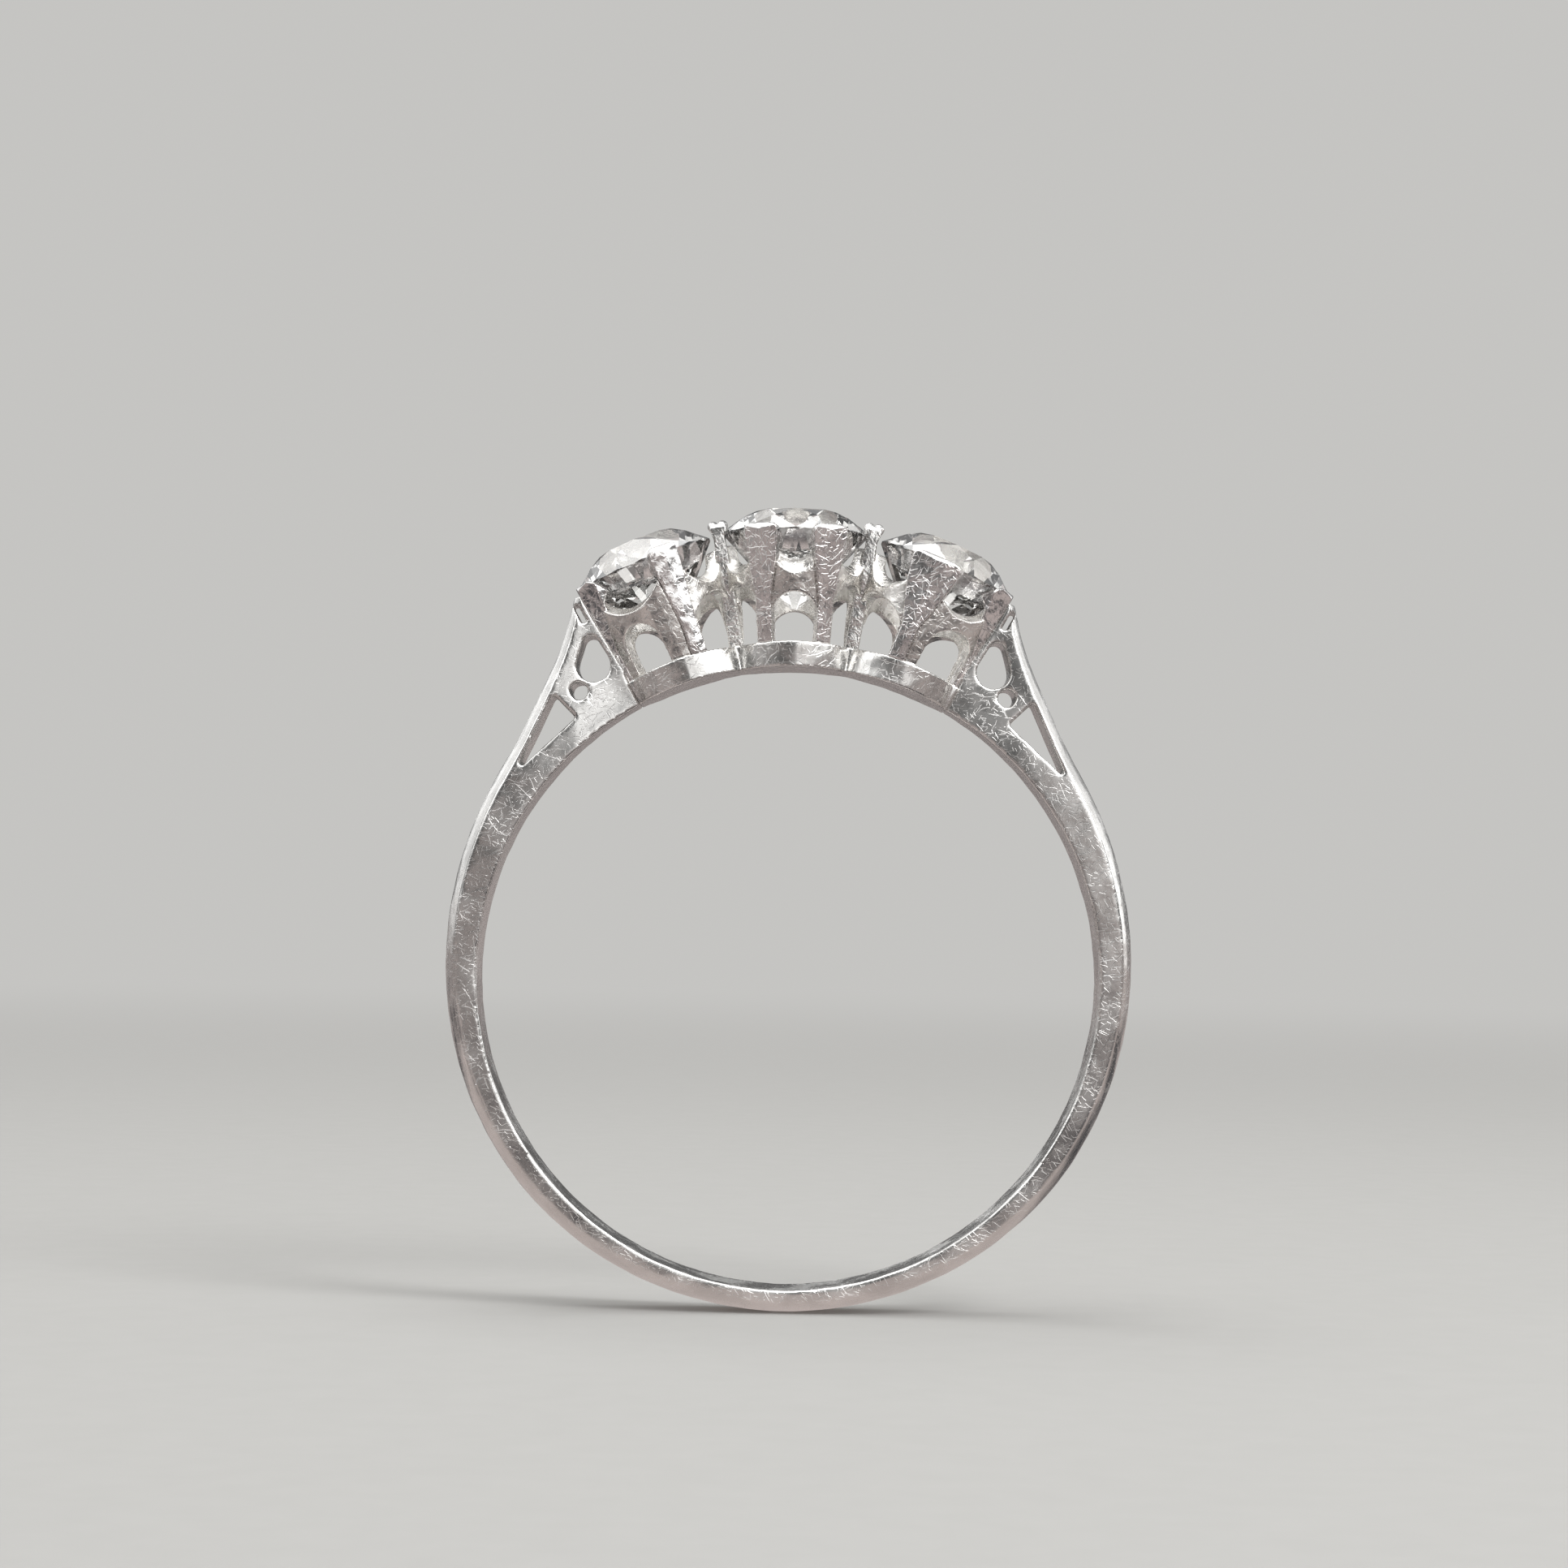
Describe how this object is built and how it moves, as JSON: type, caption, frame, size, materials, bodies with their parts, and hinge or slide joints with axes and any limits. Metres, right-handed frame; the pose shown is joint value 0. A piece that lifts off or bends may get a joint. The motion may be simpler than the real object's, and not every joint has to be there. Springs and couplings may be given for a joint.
{
  "type": "engagement ring",
  "caption": "Three-stone claw-set diamond ring in white metal, with an arched open gallery and pierced, tapering shoulders.",
  "frame": {"origin": "centre of the finger hole, half way along it", "axes": "+Z from the hole towards the centre stone, +Y along the finger hole towards the ring's back, +X to the right seen from the front"},
  "size_m": [0.0188, 0.0042, 0.0219],
  "materials": {
    "platinum": "polished platinum, softened by wear and fine scratches",
    "diamond": "colourless, facetted and polished"
  },
  "bodies": {
    "root": {"shank": "platinum", "base_rail": "platinum", "left_collet": "platinum", "centre_collet": "platinum", "right_collet": "platinum", "centre_claw_front_left": "platinum", "centre_claw_front_right": "platinum", "centre_claw_back_left": "platinum", "centre_claw_back_right": "platinum", "left_claw_front": "platinum", "left_claw_back": "platinum", "left_claw_end_front": "platinum", "left_claw_end_back": "platinum", "right_claw_front": "platinum", "right_claw_back": "platinum", "right_claw_end_front": "platinum", "right_claw_end_back": "platinum", "left_shared_claw": "platinum", "right_shared_claw": "platinum", "left_diamond": "diamond", "centre_diamond": "diamond", "right_diamond": "diamond"}
  },
  "joints": []
}
